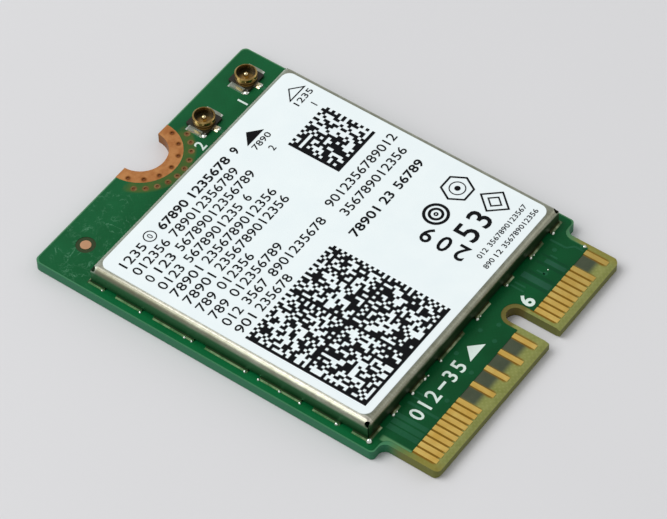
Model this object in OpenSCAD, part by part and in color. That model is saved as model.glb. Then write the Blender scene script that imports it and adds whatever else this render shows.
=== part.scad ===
// Laptop wireless network card: a shielded radio on a small board with an edge connector.
// Sizes are in millimetres. +Z is up, away from the board, with z = 0 on the underside.
// +Y points to the mounting notch and +X to the side of contact 1. x = y = 0 is mid board.

/* [Board] */
// Width of the board
board_w = 22; // [21:0.5:30]
// Length of the board, from the contact edge to the mounting end
board_l = 30; // [26:0.5:42]
// Thickness of the board over its solder masks
board_t = 0.8; // [0.6:0.05:1.2]
// Thickness of the copper and of the solder mask beside it
copper_t = 0.03; // [0.02:0.005:0.06]
// Radius of the two corners at the mounting end
corner_r = 0.4; // [0.1:0.05:1]
// Radius of the outer corners of the shoulders
shoulder_r = 0.3; // [0.1:0.05:0.6]
// Radius of the inner corners where the tongue meets the shoulders
tongue_fillet_r = 0.5; // [0.2:0.05:0.8]
// Radius of the two corners of the tongue
tongue_corner_r = 0.4; // [0.1:0.05:0.6]
// Length of the tongue, from the contact edge to the shoulders
tongue_l = 4; // [3.8:0.1:5]
// Length of the bevel along the contact edge
bevel_l = 0.3; // [0.1:0.05:0.4]
// Slope of that bevel, in degrees
bevel_angle = 20; // [10:1:30]
// Bare margin between the solder mask and the edges of the board
mask_margin = 0.1; // [0.05:0.01:0.2]
// Bare margin between the solder mask and the sides of the tongue
tongue_margin = 0.3; // [0.1:0.05:0.4]

/* [Contacts] */
// Distance between neighbouring contacts of one row
contact_pitch = 0.5; // [0.48:0.01:0.54]
// Width of a contact
contact_w = 0.35; // [0.25:0.01:0.4]
// Length of a contact, up to the solder mask
contact_l = 1.7; // [1.2:0.05:2]
// Distance from the contact edge to the tips of the contacts
contact_setback = 0.45; // [0.4:0.05:0.6]
// Laminate beside the outermost contact
contact_side_gap = 0.5; // [0.3:0.05:0.7]
// Width of the key slot
key_w = 1.2; // [1:0.05:1.4]
// Depth of the key slot, to its round end
key_depth = 3.5; // [3:0.1:3.6]
// Bare margin around the key slot
key_margin = 0.3; // [0.1:0.05:0.35]

/* [Mounting notch] */
// Radius of the half-round notch for the screw
notch_r = 1.75; // [1.5:0.05:1.9]
// Width of the copper ring around the notch
ring_w = 0.95; // [0.8:0.05:1.1]
// Thickness of the plating on the wall of the notch and in the vias
plating_t = 0.04; // [0.03:0.005:0.06]
// Radius of the open hole in a via
via_r = 0.1; // [0.07:0.01:0.13]
// Width of the copper pad around a via
via_pad_w = 0.1; // [0.06:0.01:0.12]
// Number of vias in the ring
ring_vias = 7; // [3:1:9]
// Distance from the notch's wall to the middle of those vias
ring_via_offset = 0.67; // [0.6:0.01:0.7]
// Angle between neighbouring vias of the ring
ring_via_step = 24.4; // [18:0.2:25]
// Number of vias on the arc outside the ring
arc_vias = 10; // [2:1:12]
// Distance from the ring to the middle of those vias
arc_via_offset = 0.5; // [0.4:0.05:0.6]
// Angle between neighbouring vias of the arc
arc_via_step = 13.6; // [12:0.2:16]

/* [Board marks] */
// Height of the marks printed beside the contacts
mark_h = 1; // [0.6:0.05:1.1]
// Height of the socket numbers
number_h = 0.75; // [0.5:0.05:0.8]

/* [Shield] */
// Distance from the side of the board to the wall of the shield
shield_side_gap = 0.7; // [0.6:0.05:1]
// Distance from the contact edge to the front wall of the shield
shield_front_gap = 4.8; // [4.7:0.1:6]
// Distance from the mounting end to the rear wall of the shield
shield_rear_gap = 4; // [3.9:0.1:5]
// Height of the shield above the board
shield_h = 1.4; // [1.3:0.05:1.6]
// Thickness of the shield's sheet
sheet_t = 0.15; // [0.1:0.01:0.2]
// Outer radius of the shield's folds
fold_r = 0.4; // [0.25:0.05:0.5]
// Radius of the relief hole where the folds meet in a corner
relief_r = 0.19; // [0.1:0.01:0.2]
// Width of the open seam below a relief hole
seam_w = 0.06; // [0.04:0.01:0.1]
// Height of the gaps between the shield's feet
foot_gap_h = 0.2; // [0.1:0.05:0.3]
// Width of the gaps between the feet of the side walls
side_gap_w = 0.9; // [0.6:0.05:1.1]
// Reach of the solder outside the walls
solder_reach = 0.18; // [0.1:0.01:0.2]
// Height of the solder fillets on the walls
solder_h = 0.14; // [0.08:0.01:0.2]

/* [Label] */
// Margin of the label from the shield's front, rear and side walls
label_margin = 0.4; // [0.3:0.05:0.8]
// Thickness of the label
label_t = 0.08; // [0.05:0.01:0.1]
// Corner radius of the label
label_r = 0.6; // [0.2:0.05:1]
// Thickness of the print on the label and on the board
print_t = 0.02; // [0.01:0.005:0.03]
// Side of the large code pattern as a share of the label's width
code_share = 0.447; // [0.35:0.001:0.46]
// Cells along each side of the large code pattern
code_cells = 22; // [10:2:22]
// Side of the small code pattern as a share of the label's width
small_share = 0.2; // [0.12:0.001:0.22]
// Cells along each side of the small code pattern
small_cells = 12; // [8:2:12]
// Height of a line of print as a share of the distance between lines
line_share = 0.52; // [0.3:0.01:0.6]

/* [Antenna sockets] */
// Distance from the side of the board to the middle of the outer socket
socket_side_gap = 2.23; // [2:0.05:2.6]
// Distance from the copper ring to the middle of the inner socket
socket_ring_gap = 1.54; // [1.5:0.01:1.8]
// Distance from the mounting end to the middle of the sockets
socket_end_gap = 1.83; // [1.7:0.01:2]
// Outer radius of a socket's ring
socket_r = 0.75; // [0.7:0.01:0.8]
// Wall of a socket's ring
socket_wall = 0.11; // [0.08:0.01:0.15]
// Height of a socket above the board
socket_h = 0.7; // [0.6:0.05:0.8]
// Depth of the snap groove around a socket's ring
socket_groove = 0.05; // [0.02:0.005:0.06]
// Side of a socket's insulating base
socket_base_w = 1.7; // [1.6:0.05:1.8]
// Thickness of a socket's insulating base
socket_base_t = 0.2; // [0.18:0.01:0.25]
// Reach of a socket's tabs and tail from its middle
socket_reach = 1.15; // [1.1:0.05:1.25]
// Radius of a socket's centre pin
socket_pin_r = 0.18; // [0.12:0.01:0.22]

/* [Parts under the shield] */
// Gap between neighbouring parts
part_gap = 0.4; // [0.3:0.05:0.45]
// Side of the square radio chip
chip_w = 8.5; // [6:0.5:9]
// Height of the radio chip above its solder balls
chip_h = 0.75; // [0.6:0.05:0.9]
// Thickness of the substrate at the bottom of the radio chip
chip_substrate_t = 0.2; // [0.15:0.05:0.3]
// Height of the radio chip's solder balls
ball_h = 0.18; // [0.12:0.01:0.22]
// Distance between solder balls
ball_pitch = 0.9; // [0.8:0.05:1]
// Side of the amplifier modules
amplifier_w = 3; // [2.4:0.1:3.2]
// Height of the amplifier modules
amplifier_h = 0.6; // [0.4:0.05:0.8]
// Length of the clock crystal
crystal_l = 2; // [1.6:0.1:2.5]
// Width of the clock crystal
crystal_w = 1.6; // [1.2:0.1:2]
// Height of the clock crystal
crystal_h = 0.5; // [0.4:0.05:0.7]
// Length of the power inductors
inductor_l = 2; // [1.6:0.1:2.2]
// Height of the power inductors
inductor_h = 1; // [0.7:0.05:1]
// Length of the large capacitors, which are half as wide and high
large_cap_l = 1; // [0.8:0.05:1.2]
// Length of the small capacitors and resistors, which are half as wide
small_part_l = 0.6; // [0.4:0.05:0.7]
// Height of the resistors
resistor_h = 0.23; // [0.15:0.01:0.3]

/* [Underside] */
// Radius of the round test pads
test_pad_r = 0.4; // [0.3:0.05:0.6]
// Share of the board's width between neighbouring test pads
test_pad_share = 0.1; // [0.06:0.01:0.11]

/* [Hidden] */
$fn = 32;

// Cuts run past the faces they open by this much
over = 0.5;
// Edges of the board
edge_y = -board_l / 2;
end_y = board_l / 2;
shoulder_y = edge_y + tongue_l;
core_t = board_t - 2 * copper_t;

// Contacts are numbered from the +X side, odd on top and even below, 38 being mid board
mid_contact = 38;
last_contact = 75;
// The key takes the place of contacts 24 to 31
key_contact = 27.5;
top_contacts = [1, 7, 9, 11, 13, 15, 17, 19, 21, 23, 33, 39, 45, 51,
    57, 59, 61, 63, 65, 67, 69, 71, 73, 75];
bottom_contacts = [for (n = [2:2:last_contact]) if (abs(n - key_contact) > 4) n];
tongue_w = 2 * contact_x(1) + contact_w + 2 * contact_side_gap;
mask_edge_y = edge_y + contact_setback + contact_l;
key_x = contact_x(key_contact);
key_end_y = edge_y + key_depth - key_w / 2;

// Mounting notch
ring_r = notch_r + ring_w;
fiducial = [-board_w / 2 + 2.83, end_y - 1.9];
fiducial_r = 0.36;
fiducial_opening_r = 0.65;

// Shield
shield_w = board_w - 2 * shield_side_gap;
shield_l = board_l - shield_front_gap - shield_rear_gap;
shield_y = (edge_y + shield_front_gap + end_y - shield_rear_gap) / 2;
shield_rear_y = shield_y + shield_l / 2;
shield_top = board_t + shield_h;
solder_inside = 0.1;
// Gaps between the feet: the share of the wall's half length at the gap's middle, and its width
front_gaps = [[-0.83, 1.1], [-0.64, 1.1], [-0.36, 1.4], [0.03, 1.3],
    [0.32, 1.6], [0.58, 1.8], [0.855, 0.9]];
side_gaps = [for (s = [-0.85, -0.575, -0.195, 0.195, 0.575, 0.85]) [s, side_gap_w]];

// Label
label_w = shield_w - 2 * label_margin - 0.1;
label_l = shield_l - 2 * label_margin;
label_top = shield_top + label_t;
label_left = -label_w / 2;
label_right = label_w / 2;
label_front_y = shield_y - label_l / 2;
label_rear_y = shield_y + label_l / 2;

// Antenna sockets, main first
socket_x = [ring_r + socket_ring_gap, board_w / 2 - socket_side_gap];
socket_y = end_y - socket_end_gap;
tab_w = 1;
tab_t = 0.1;
tail_w = 0.3;
solder_toe = 0.04;
rim_bevel = 0.05;

// Parts under the shield, in rows and columns from its rear and left walls
lid_t = 0.1;
band_share = 0.22;
diplexer_size = [1.6, 0.8, 0.55];
inductor_size = [inductor_l, 0.8 * inductor_l, inductor_h];
large_cap_size = [large_cap_l, large_cap_l / 2, large_cap_l / 2];
small_cap_size = [small_part_l, small_part_l / 2, small_part_l / 2];
resistor_size = [small_part_l, small_part_l / 2, resistor_h];
wall_gap = sheet_t + 2 * part_gap;
diplexer_y = shield_rear_y - sheet_t - part_gap - diplexer_size[1] / 2;
amplifier_y = diplexer_y - diplexer_size[1] / 2 - 1.5 * part_gap - amplifier_w / 2;
resistor_y = amplifier_y - amplifier_w / 2 - part_gap - small_part_l / 2;
rear_cap_y = resistor_y - small_part_l - part_gap;
chip_top_y = rear_cap_y - small_part_l / 2 - part_gap;
chip_front_y = chip_top_y - chip_w;
front_cap_y = chip_front_y - part_gap - small_part_l / 2;
inductor_x = -shield_w / 2 + wall_gap + inductor_size[1] / 2;
left_cap_x = inductor_x + inductor_size[1] / 2 + 4 * part_gap + large_cap_size[1] / 2;
chip_left_x = left_cap_x + large_cap_size[1] / 2 + part_gap;
right_cap_x = chip_left_x + chip_w + part_gap + large_cap_size[1] / 2;
chip_at = [chip_left_x + chip_w / 2, chip_top_y - chip_w / 2];
balls = floor((chip_w - 1.5 * part_gap) / ball_pitch);
aux_amplifier_x = shield_w / 2 - wall_gap - amplifier_w / 2;
main_amplifier_x = aux_amplifier_x - amplifier_w - 4 * part_gap;
crystal_at = [inductor_x + part_gap, amplifier_y + part_gap];
// Each place is x, y and the turn in degrees
inductor_places = [for (i = [-1:1])
    [inductor_x, chip_at[1] + i * (inductor_l + 2 * part_gap), 90]];
large_cap_places = [for (x = [left_cap_x, right_cap_x], i = [-2:2])
    [x, chip_at[1] + i * (large_cap_l + part_gap), 90]];
small_cap_places = [for (y = [rear_cap_y, front_cap_y], i = [-4.5:4.5])
    [chip_at[0] + i * (small_part_l / 2 + part_gap), y, 90]];
resistor_places = [for (i = [-3.5:3.5])
    [chip_at[0] + i * (small_part_l / 2 + 1.5 * part_gap), resistor_y, 90]];

// Where contact number n lies across the tongue
function contact_x(n) = contact_pitch / 2 * (mid_contact - n);

// Middles of vias on an arc about the notch, spread evenly about its lowest point
function arc_points(count, r, step) = [for (i = [0:count - 1])
    let (a = -90 + (i - (count - 1) / 2) * step)
    [r * cos(a), end_y + r * sin(a)]];
function clear_of_sockets(p) =
    min([for (x = socket_x) max(abs(p[0] - x), abs(p[1] - socket_y))])
    > socket_reach + solder_toe + via_r + via_pad_w;
ring_via_points = arc_points(ring_vias, notch_r + ring_via_offset, ring_via_step);
arc_via_points = [for (p = arc_points(arc_vias, ring_r + arc_via_offset, arc_via_step))
    if (clear_of_sockets(p)) p];

// Feet left between the gaps of a wall, each as its two ends along the wall
function feet(gaps, half, reach) = [for (i = [0:len(gaps)])
    [i == 0 ? -half - reach : gaps[i - 1][0] * half + gaps[i - 1][1] / 2,
     i == len(gaps) ? half + reach : gaps[i][0] * half - gaps[i][1] / 2]];

// Whether a cell of a code pattern is dark: two solid sides, two dotted ones, mixed inside
function mixed(i, j, seed) = let (s = sin(i * 743.7 + j * 4483.1 + seed * 97.3) * 43758.5)
    s - floor(s) < 0.5;
function dark(i, j, n, seed) = i == 0 || j == 0 ? true
    : i == n - 1 ? j % 2 == 0
    : j == n - 1 ? i % 2 == 0
    : mixed(i, j, seed);

// Flat rectangle with round corners, from a corner at the origin
module rounded_rect(w, l, r) {
    translate([r, 0]) square([w - 2 * r, l]);
    translate([0, r]) square([w, l - 2 * r]);
    for (x = [r, w - r], y = [r, l - r]) translate([x, y]) circle(r);
}

// Outline of the board with its shoulders and tongue, drawn in by an inset
module board_outline(inset, tongue_inset) {
    w = board_w - 2 * inset;
    tw = tongue_w - 2 * tongue_inset;
    tongue_top = shoulder_y + inset;
    fillet = tongue_fillet_r + inset;
    // Body between the shoulders and the mounting end
    translate([-w / 2, tongue_top + shoulder_r]) square([w, end_y - inset - corner_r
        - tongue_top - shoulder_r]);
    translate([-w / 2 + corner_r, end_y - inset - corner_r])
        square([w - 2 * corner_r, corner_r]);
    translate([-w / 2 + shoulder_r, tongue_top]) square([w - 2 * shoulder_r, shoulder_r]);
    for (side = [-1, 1]) {
        translate([side * (w / 2 - corner_r), end_y - inset - corner_r]) circle(corner_r);
        translate([side * (w / 2 - shoulder_r), tongue_top + shoulder_r]) circle(shoulder_r);
        // Hollow round between the shoulder and the tongue
        difference() {
            translate([side * (tw / 2 + fillet / 2), tongue_top - fillet / 2])
                square(fillet, center = true);
            translate([side * (tw / 2 + fillet), tongue_top - fillet]) circle(fillet);
        }
    }
    // Tongue
    translate([-tw / 2, edge_y + tongue_corner_r])
        square([tw, tongue_top - edge_y - tongue_corner_r + shoulder_r]);
    translate([-tw / 2 + tongue_corner_r, edge_y])
        square([tw - 2 * tongue_corner_r, tongue_corner_r]);
    for (side = [-1, 1]) translate([side * (tw / 2 - tongue_corner_r),
        edge_y + tongue_corner_r]) circle(tongue_corner_r);
}

// Key slot with its round end, grown by a margin
module key_slot(margin) {
    translate([key_x, key_end_y]) circle(key_w / 2 + margin);
    translate([key_x - key_w / 2 - margin, edge_y - over])
        square([key_w + 2 * margin, key_depth - key_w / 2 + over]);
}

// Wedge that bevels one face of the contact edge
module edge_bevel() {
    drop = bevel_l * tan(bevel_angle);
    translate([-tongue_w / 2 - over, edge_y, 0]) rotate([90, 0, 90])
        linear_extrude(tongue_w + 2 * over)
            polygon([[-over, -over], [bevel_l, -over], [bevel_l, 0], [0, drop], [-over, drop]]);
}

// Bare glass-fibre laminate with its outline, key, notch, bevels and drilled holes
module circuit_board() color("darkkhaki") difference() {
    translate([0, 0, copper_t]) linear_extrude(core_t) difference() {
        board_outline(0, 0);
        key_slot(0);
        translate([0, end_y]) circle(notch_r + plating_t);
    }
    translate([0, 0, copper_t]) edge_bevel();
    translate([0, 0, board_t - copper_t]) mirror([0, 0, 1]) edge_bevel();
    for (p = concat(ring_via_points, arc_via_points)) translate([p[0], p[1], -over])
        cylinder(r = via_r + plating_t, h = board_t + 2 * over);
}

// Area that both solder masks cover, before the openings of each side
module mask_area() difference() {
    board_outline(mask_margin, tongue_margin);
    translate([-board_w, edge_y - over]) square([2 * board_w, mask_edge_y - edge_y + over]);
    key_slot(key_margin);
    translate([0, end_y]) circle(ring_r);
    for (p = arc_via_points) translate(p) circle(via_r + via_pad_w);
}

module solder_mask_top() color("darkgreen")
    translate([0, 0, board_t - copper_t]) linear_extrude(copper_t) difference() {
        mask_area();
        translate(fiducial) circle(fiducial_opening_r);
        shield_lands();
        socket_lands();
        lands();
    }

module solder_mask_bottom() color("darkgreen") linear_extrude(copper_t) difference() {
    mask_area();
    test_pad_circles();
}

// One row of gold contacts, as flat copper pads with squared ends
module contacts(numbers) {
    for (n = numbers) translate([contact_x(n) - contact_w / 2, edge_y + contact_setback, 0])
        cube([contact_w, contact_l, copper_t]);
}

module contact_fingers_top() color("goldenrod")
    translate([0, 0, board_t - copper_t]) contacts(top_contacts);

module contact_fingers_bottom() color("goldenrod") contacts(bottom_contacts);

// Copper ring on both faces, joined by the plated wall of the notch and by plated vias
module board_ground_ring() color("peru") difference() {
    union() {
        translate([0, end_y, 0]) rotate([0, 0, 180]) rotate_extrude(angle = 180)
            polygon([[notch_r, 0], [ring_r, 0], [ring_r, copper_t],
                [notch_r + plating_t, copper_t], [notch_r + plating_t, board_t - copper_t],
                [ring_r, board_t - copper_t], [ring_r, board_t], [notch_r, board_t]]);
        for (p = ring_via_points) translate([p[0], p[1], 0])
            cylinder(r = via_r + plating_t, h = board_t);
    }
    for (p = ring_via_points) translate([p[0], p[1], -over])
        cylinder(r = via_r, h = board_t + 2 * over);
}

// Plated through holes on the arc outside the ring, each with a pad on both faces
module stitching_vias() color("tan") for (p = arc_via_points) translate([p[0], p[1], 0])
    rotate_extrude() polygon([[via_r, 0], [via_r + via_pad_w, 0],
        [via_r + via_pad_w, copper_t], [via_r + plating_t, copper_t],
        [via_r + plating_t, board_t - copper_t], [via_r + via_pad_w, board_t - copper_t],
        [via_r + via_pad_w, board_t], [via_r, board_t]]);

module fiducial_dot() color("sandybrown")
    translate([fiducial[0], fiducial[1], board_t - copper_t])
        cylinder(r = fiducial_r, h = copper_t);

// Round test pads of the underside, in rows below the shield
module test_pad_circles() for (i = [-3:3], j = [-1:1]) if ((i + j) % 2 == 0)
    translate([i, j] * test_pad_share * board_w + [0, shield_y]) circle(test_pad_r);

module test_pads() color("goldenrod") linear_extrude(copper_t) test_pad_circles();

// Numeral 1 or 2 made of plain strokes, in a box of height h from its lower left corner
module numeral(n, h) {
    t = h / 6;
    w = h / 2;
    if (n == 1) {
        translate([w / 2, 0]) square([t, h]);
        translate([w / 2 - t, h - 2 * t]) square([t + t / 2, t]);
    } else {
        for (y = [0, (h - t) / 2, h - t]) translate([0, y]) square([w, t]);
        translate([w - t, (h - t) / 2]) square([t, (h + t) / 2]);
        square([t, (h + t) / 2]);
    }
}

// White print on the board: a pointer, blocks in a row, a key mark and the socket numbers
module silkscreen_marks() color("white")
    translate([0, 0, board_t]) linear_extrude(print_t) {
        mark_y = (mask_edge_y + shield_y - shield_l / 2) / 2 - mark_h / 2;
        translate([-0.05 * board_w, mark_y])
            polygon([[-0.8, 0] * mark_h, [0.8, 0] * mark_h, [0, 0.85] * mark_h]);
        for (i = [0:4]) translate([-0.335 * board_w + i * 1.15 * mark_h, mark_y])
            square([i == 2 ? 0.8 : 0.55, i == 2 ? 0.25 : 1] * mark_h);
        translate([key_x + key_w / 2 + key_margin, mark_y - mark_h / 2]) difference() {
            square([0.75, 1.2] * mark_h);
            translate([0.2, 0.2] * mark_h) square([0.35, 0.8] * mark_h);
        }
        for (i = [0, 1]) translate([socket_x[i] - socket_reach - number_h, socket_y
            - socket_reach - number_h / 4]) numeral(2 - i, number_h);
    }

// Closed block of the shield's shape, with its four folds rounded and its corners mitred
module folded_block(w, l, h, r) intersection() {
    translate([0, -l / 2, 0]) rotate([90, 0, 180]) linear_extrude(l) folded_section(w, h, r);
    translate([-w / 2, 0, 0]) rotate([90, 0, 90]) linear_extrude(w) folded_section(l, h, r);
}

module folded_section(w, h, r) {
    translate([-w / 2, 0]) square([w, h - r]);
    translate([-w / 2 + r, 0]) square([w - 2 * r, h]);
    for (side = [-1, 1]) translate([side * (w / 2 - r), h - r]) circle(r);
}

// Shield folded from one sheet: open below, with a relief hole and a seam in each corner
module shield_can() color("darkgray") translate([0, shield_y, board_t]) difference() {
    folded_block(shield_w, shield_l, shield_h, fold_r);
    translate([0, 0, -over]) folded_block(shield_w - 2 * sheet_t, shield_l - 2 * sheet_t,
        shield_h - sheet_t + over, fold_r - sheet_t);
    // Corner reliefs lie mid fold, where three sheets would meet
    inset = fold_r * (1 - cos(45));
    for (x = [-1, 1], y = [-1, 1])
        translate([x * (shield_w / 2 - inset), y * (shield_l / 2 - inset), 0])
            rotate([0, 0, atan2(y, x)]) {
                translate([0, 0, shield_h - inset]) rotate([0, 45, 0])
                    cylinder(r = relief_r, h = 4 * sheet_t, center = true);
                translate([-2 * sheet_t, -seam_w / 2, -over])
                    cube([4 * sheet_t, seam_w, shield_h - inset + over]);
            }
    // Gaps between the feet
    for (side = [-1, 1], g = front_gaps)
        translate([g[0] * shield_w / 2 - g[1] / 2, side * shield_l / 2 - sheet_t - over / 2, -over])
            cube([g[1], 2 * sheet_t + over, foot_gap_h + over]);
    for (side = [-1, 1], g = side_gaps)
        translate([side * shield_w / 2 - sheet_t - over / 2, g[0] * shield_l / 2 - g[1] / 2, -over])
            cube([2 * sheet_t + over, g[1], foot_gap_h + over]);
}

// Places its children at each wall of the shield: x along the wall and y outwards
module at_walls(ends = true) {
    if (ends) for (side = [0, 180]) translate([0, shield_y, 0]) rotate([0, 0, side])
        translate([0, -shield_l / 2, 0]) mirror([0, 1, 0]) children();
    else for (side = [90, -90]) translate([0, shield_y, 0]) rotate([0, 0, side])
        translate([0, -shield_w / 2, 0]) mirror([0, 1, 0]) children();
}

// Solder pads under the shield's feet
module shield_lands() {
    at_walls(true) for (f = feet(front_gaps, shield_w / 2, solder_reach))
        translate([f[0], -sheet_t - solder_inside])
            square([f[1] - f[0], sheet_t + solder_inside + solder_reach]);
    at_walls(false) for (f = feet(side_gaps, shield_l / 2, solder_reach))
        translate([f[0], -sheet_t - solder_inside])
            square([f[1] - f[0], sheet_t + solder_inside + solder_reach]);
}

// Section of the hollow fillet of solder against a wall
module fillet_section() polygon([[0, 0], [solder_reach, 0],
    [0.35 * solder_reach, 0.35 * solder_h], [0, solder_h]]);

module solder_fillet(f) translate([f[0], 0, board_t]) rotate([90, 0, 90])
    linear_extrude(f[1] - f[0]) fillet_section();

// Solder of the shield: the pads, fillets along the feet, and the corners between them
module shield_solder() color("silver") {
    translate([0, 0, board_t - copper_t]) linear_extrude(copper_t) shield_lands();
    at_walls(true) for (f = feet(front_gaps, shield_w / 2, 0)) solder_fillet(f);
    at_walls(false) for (f = feet(side_gaps, shield_l / 2, 0)) solder_fillet(f);
    for (x = [-1, 1], y = [-1, 1])
        translate([x * shield_w / 2, shield_y + y * shield_l / 2, board_t])
            rotate([0, 0, atan2(y, x) - 45]) rotate_extrude(angle = 90) fillet_section();
}

module label() color("aliceblue")
    translate([label_left, label_front_y, shield_top]) linear_extrude(label_t)
        rounded_rect(label_w, label_l, label_r);

// Square code pattern of n by n cells, whose cells meet without bare corners
module code_pattern(n, cell, seed) offset(delta = 0.01)
    for (i = [0:n - 1], j = [0:n - 1]) if (dark(i, j, n, seed))
        translate([i * cell, j * cell]) square(cell);

// Outline of a flat shape, of a given stroke
module stroke(t) difference() {
    children();
    offset(delta = -t) children();
}

// Places and sizes on the label, in hundredths of its width and of its length
function across(k) = label_w * k / 100;
function along(k) = label_l * k / 100;
module at_label(x, y) translate([label_left + across(x), label_front_y + along(y)]) children();

// Line of print as plain bars, one for each word, from a corner and of height h
module word_bars(x, y, words, h, i = 0) {
    at_label(x, y) square([across(words[i]), along(h)]);
    if (i < len(words) - 1) word_bars(x + words[i] + 1.8, y, words, h, i + 1);
}

// Pointer to a socket over a bar and the socket's number
module pointer() polygon([[-across(4.3), 0], [across(4.3), 0], [0, along(3.9)]]);
module socket_sign(x, n) {
    at_label(x, 91) if (n == 1) stroke(across(0.45)) pointer();
    else pointer();
    at_label(x - 4.3, 87.3) square([across(8.6), along(2)]);
    at_label(x - 0.8, 82.6) numeral(n, along(2.7));
}

// Words of the lines at the left, as hundredths of the label's width
text_lines = [[14, 12, 21], [15, 35], [10, 4, 37], [11, 34], [12, 37], [12, 37], [8, 17],
    [7, 26], [10, 10, 29], [7, 19]];
text_step = 4.85;

// Generic print of the label: codes, lines of bars, pointers and plain signs
module label_print() color("black") translate([0, 0, label_top]) linear_extrude(print_t) {
    at_label(2.8, 2.6) code_pattern(code_cells, label_w * code_share / code_cells, 1);
    at_label(74, 62.2) code_pattern(small_cells, label_w * small_share / small_cells, 2);
    for (k = [0:len(text_lines) - 1])
        word_bars(3.3, 92.5 - k * text_step, text_lines[k], text_step * line_share);
    socket_sign(70.6, 2);
    socket_sign(92.4, 1);
    // Lines at the right
    word_bars(61, 55.6, [36], 3);
    word_bars(61, 49.5, [33.5], 3);
    word_bars(55.3, 42.4, [13.5, 4.3, 16], 3);
    word_bars(71, 6.4, [4, 21.5], 1.5);
    word_bars(68.5, 2.7, [9, 18.5], 1.5);
    // Upright word of three blocks, then a ring, a hexagon, a square and a diamond
    for (k = [0:2]) at_label(66, 10.8 + 6 * k) square([across(5), along(5)]);
    at_label(77.7, 27.7) {
        stroke(across(0.7)) circle(across(4.3));
        circle(across(1.8));
    }
    at_label(90.1, 27.7) {
        stroke(across(0.7)) circle(across(5.6), $fn = 6);
        circle(across(1.5));
    }
    at_label(74, 11) stroke(across(0.8)) square(across(8));
    at_label(91.9, 15) rotate(45) stroke(across(0.7)) square(across(7), center = true);
}

// Formed ring of a socket on its base, with a snap groove, two risers and two soldered tabs
module socket_shell_shape() {
    groove_z = socket_base_t + socket_wall;
    inner_r = socket_r - socket_wall;
    riser_t = socket_wall - 0.04;
    riser_w = 0.3;
    rotate_extrude() polygon([[inner_r, socket_base_t], [socket_r, socket_base_t],
        [socket_r, groove_z], [socket_r - socket_groove, groove_z + socket_groove],
        [socket_r, groove_z + 2 * socket_groove], [socket_r, socket_h - rim_bevel],
        [socket_r - rim_bevel, socket_h], [inner_r, socket_h]]);
    for (turn = [0, 180]) rotate([0, 0, turn]) translate([inner_r + 0.01, 0, 0]) {
        translate([0, -riser_w / 2, 0]) cube([riser_t, riser_w, socket_base_t + 0.05]);
        translate([0, -tab_w / 2, 0]) cube([socket_reach - inner_r - 0.01, tab_w, tab_t]);
    }
}

// Centre pin with a domed head, a foot and a tail that runs out under the ring
module socket_pin_shape() {
    head_h = socket_h - 0.08;
    cylinder(r = socket_pin_r, h = head_h - socket_pin_r);
    translate([0, 0, head_h - socket_pin_r]) sphere(socket_pin_r);
    cylinder(r = socket_pin_r + 0.12, h = tab_t);
    translate([-tail_w / 2, -socket_reach, 0]) cube([tail_w, socket_reach, tab_t]);
}

module socket_insulator_shape() difference() {
    translate([-socket_base_w / 2, -socket_base_w / 2, 0]) linear_extrude(socket_base_t)
        rounded_rect(socket_base_w, socket_base_w, 0.1);
    socket_shell_shape();
    socket_pin_shape();
}

module at_socket(i) translate([socket_x[i], socket_y, board_t]) children();

module main_socket_shell() color("goldenrod") at_socket(0) socket_shell_shape();
module main_socket_insulator() color("dimgray") at_socket(0) socket_insulator_shape();
module main_socket_pin() color("gold") at_socket(0) socket_pin_shape();
module aux_socket_shell() color("goldenrod") at_socket(1) socket_shell_shape();
module aux_socket_insulator() color("dimgray") at_socket(1) socket_insulator_shape();
module aux_socket_pin() color("gold") at_socket(1) socket_pin_shape();

// Pads under the tabs and the tail of each socket
module socket_lands() for (x = socket_x) translate([x, socket_y]) for (turn = [-90, 0, 90])
    rotate(turn) translate([0, -socket_reach - solder_toe + 0.2])
        square([turn == 0 ? tail_w + 0.2 : tab_w + 0.3, 0.4], center = true);

// Solder of the sockets: the pads, with a small fillet against the end of each tab and tail
module socket_solder() color("silver") {
    translate([0, 0, board_t - copper_t]) linear_extrude(copper_t) socket_lands();
    for (x = socket_x, turn = [-90, 0, 90]) translate([x, socket_y, board_t])
        rotate([0, 0, turn]) translate([0, -socket_reach, 0]) rotate([90, 0, -90])
            linear_extrude(turn == 0 ? tail_w : tab_w, center = true)
                polygon([[0, 0], [solder_toe, 0], [0, tab_t]]);
}

// Pads of a part with two ends, in the part's own frame
module end_lands(size) for (side = [-1, 1])
    translate([side * (size[0] / 2 - size[0] * band_share / 2), 0])
        square([size[0] * band_share + 0.1, size[1] + 0.06], center = true);

module at_places(places) for (p = places) translate([p[0], p[1]]) rotate(p[2]) children();

// Pads of every part under the shield that is soldered at its ends or middle
module lands() {
    at_places(inductor_places) end_lands(inductor_size);
    at_places(large_cap_places) end_lands(large_cap_size);
    at_places(small_cap_places) end_lands(small_cap_size);
    at_places(resistor_places) end_lands(resistor_size);
    translate(crystal_at) end_lands([crystal_l, crystal_w]);
    for (x = [main_amplifier_x, aux_amplifier_x]) translate([x, amplifier_y])
        square(0.6 * amplifier_w, center = true);
    for (x = socket_x) translate([x, diplexer_y]) end_lands(diplexer_size);
}

module component_lands() color("silver")
    translate([0, 0, board_t - copper_t]) linear_extrude(copper_t) lands();

// Middle and soldered ends of a part with two ends
module end_part_body(size) translate([0, 0, size[2] / 2 + 0.01])
    cube([size[0] * (1 - 2 * band_share), size[1] - 0.04, size[2] - 0.02], center = true);

module end_part_bands(size) for (side = [-1, 1])
    translate([side * size[0] * (1 - band_share) / 2, 0, size[2] / 2])
        cube([size[0] * band_share, size[1], size[2]], center = true);

module on_board() translate([0, 0, board_t]) children();

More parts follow.
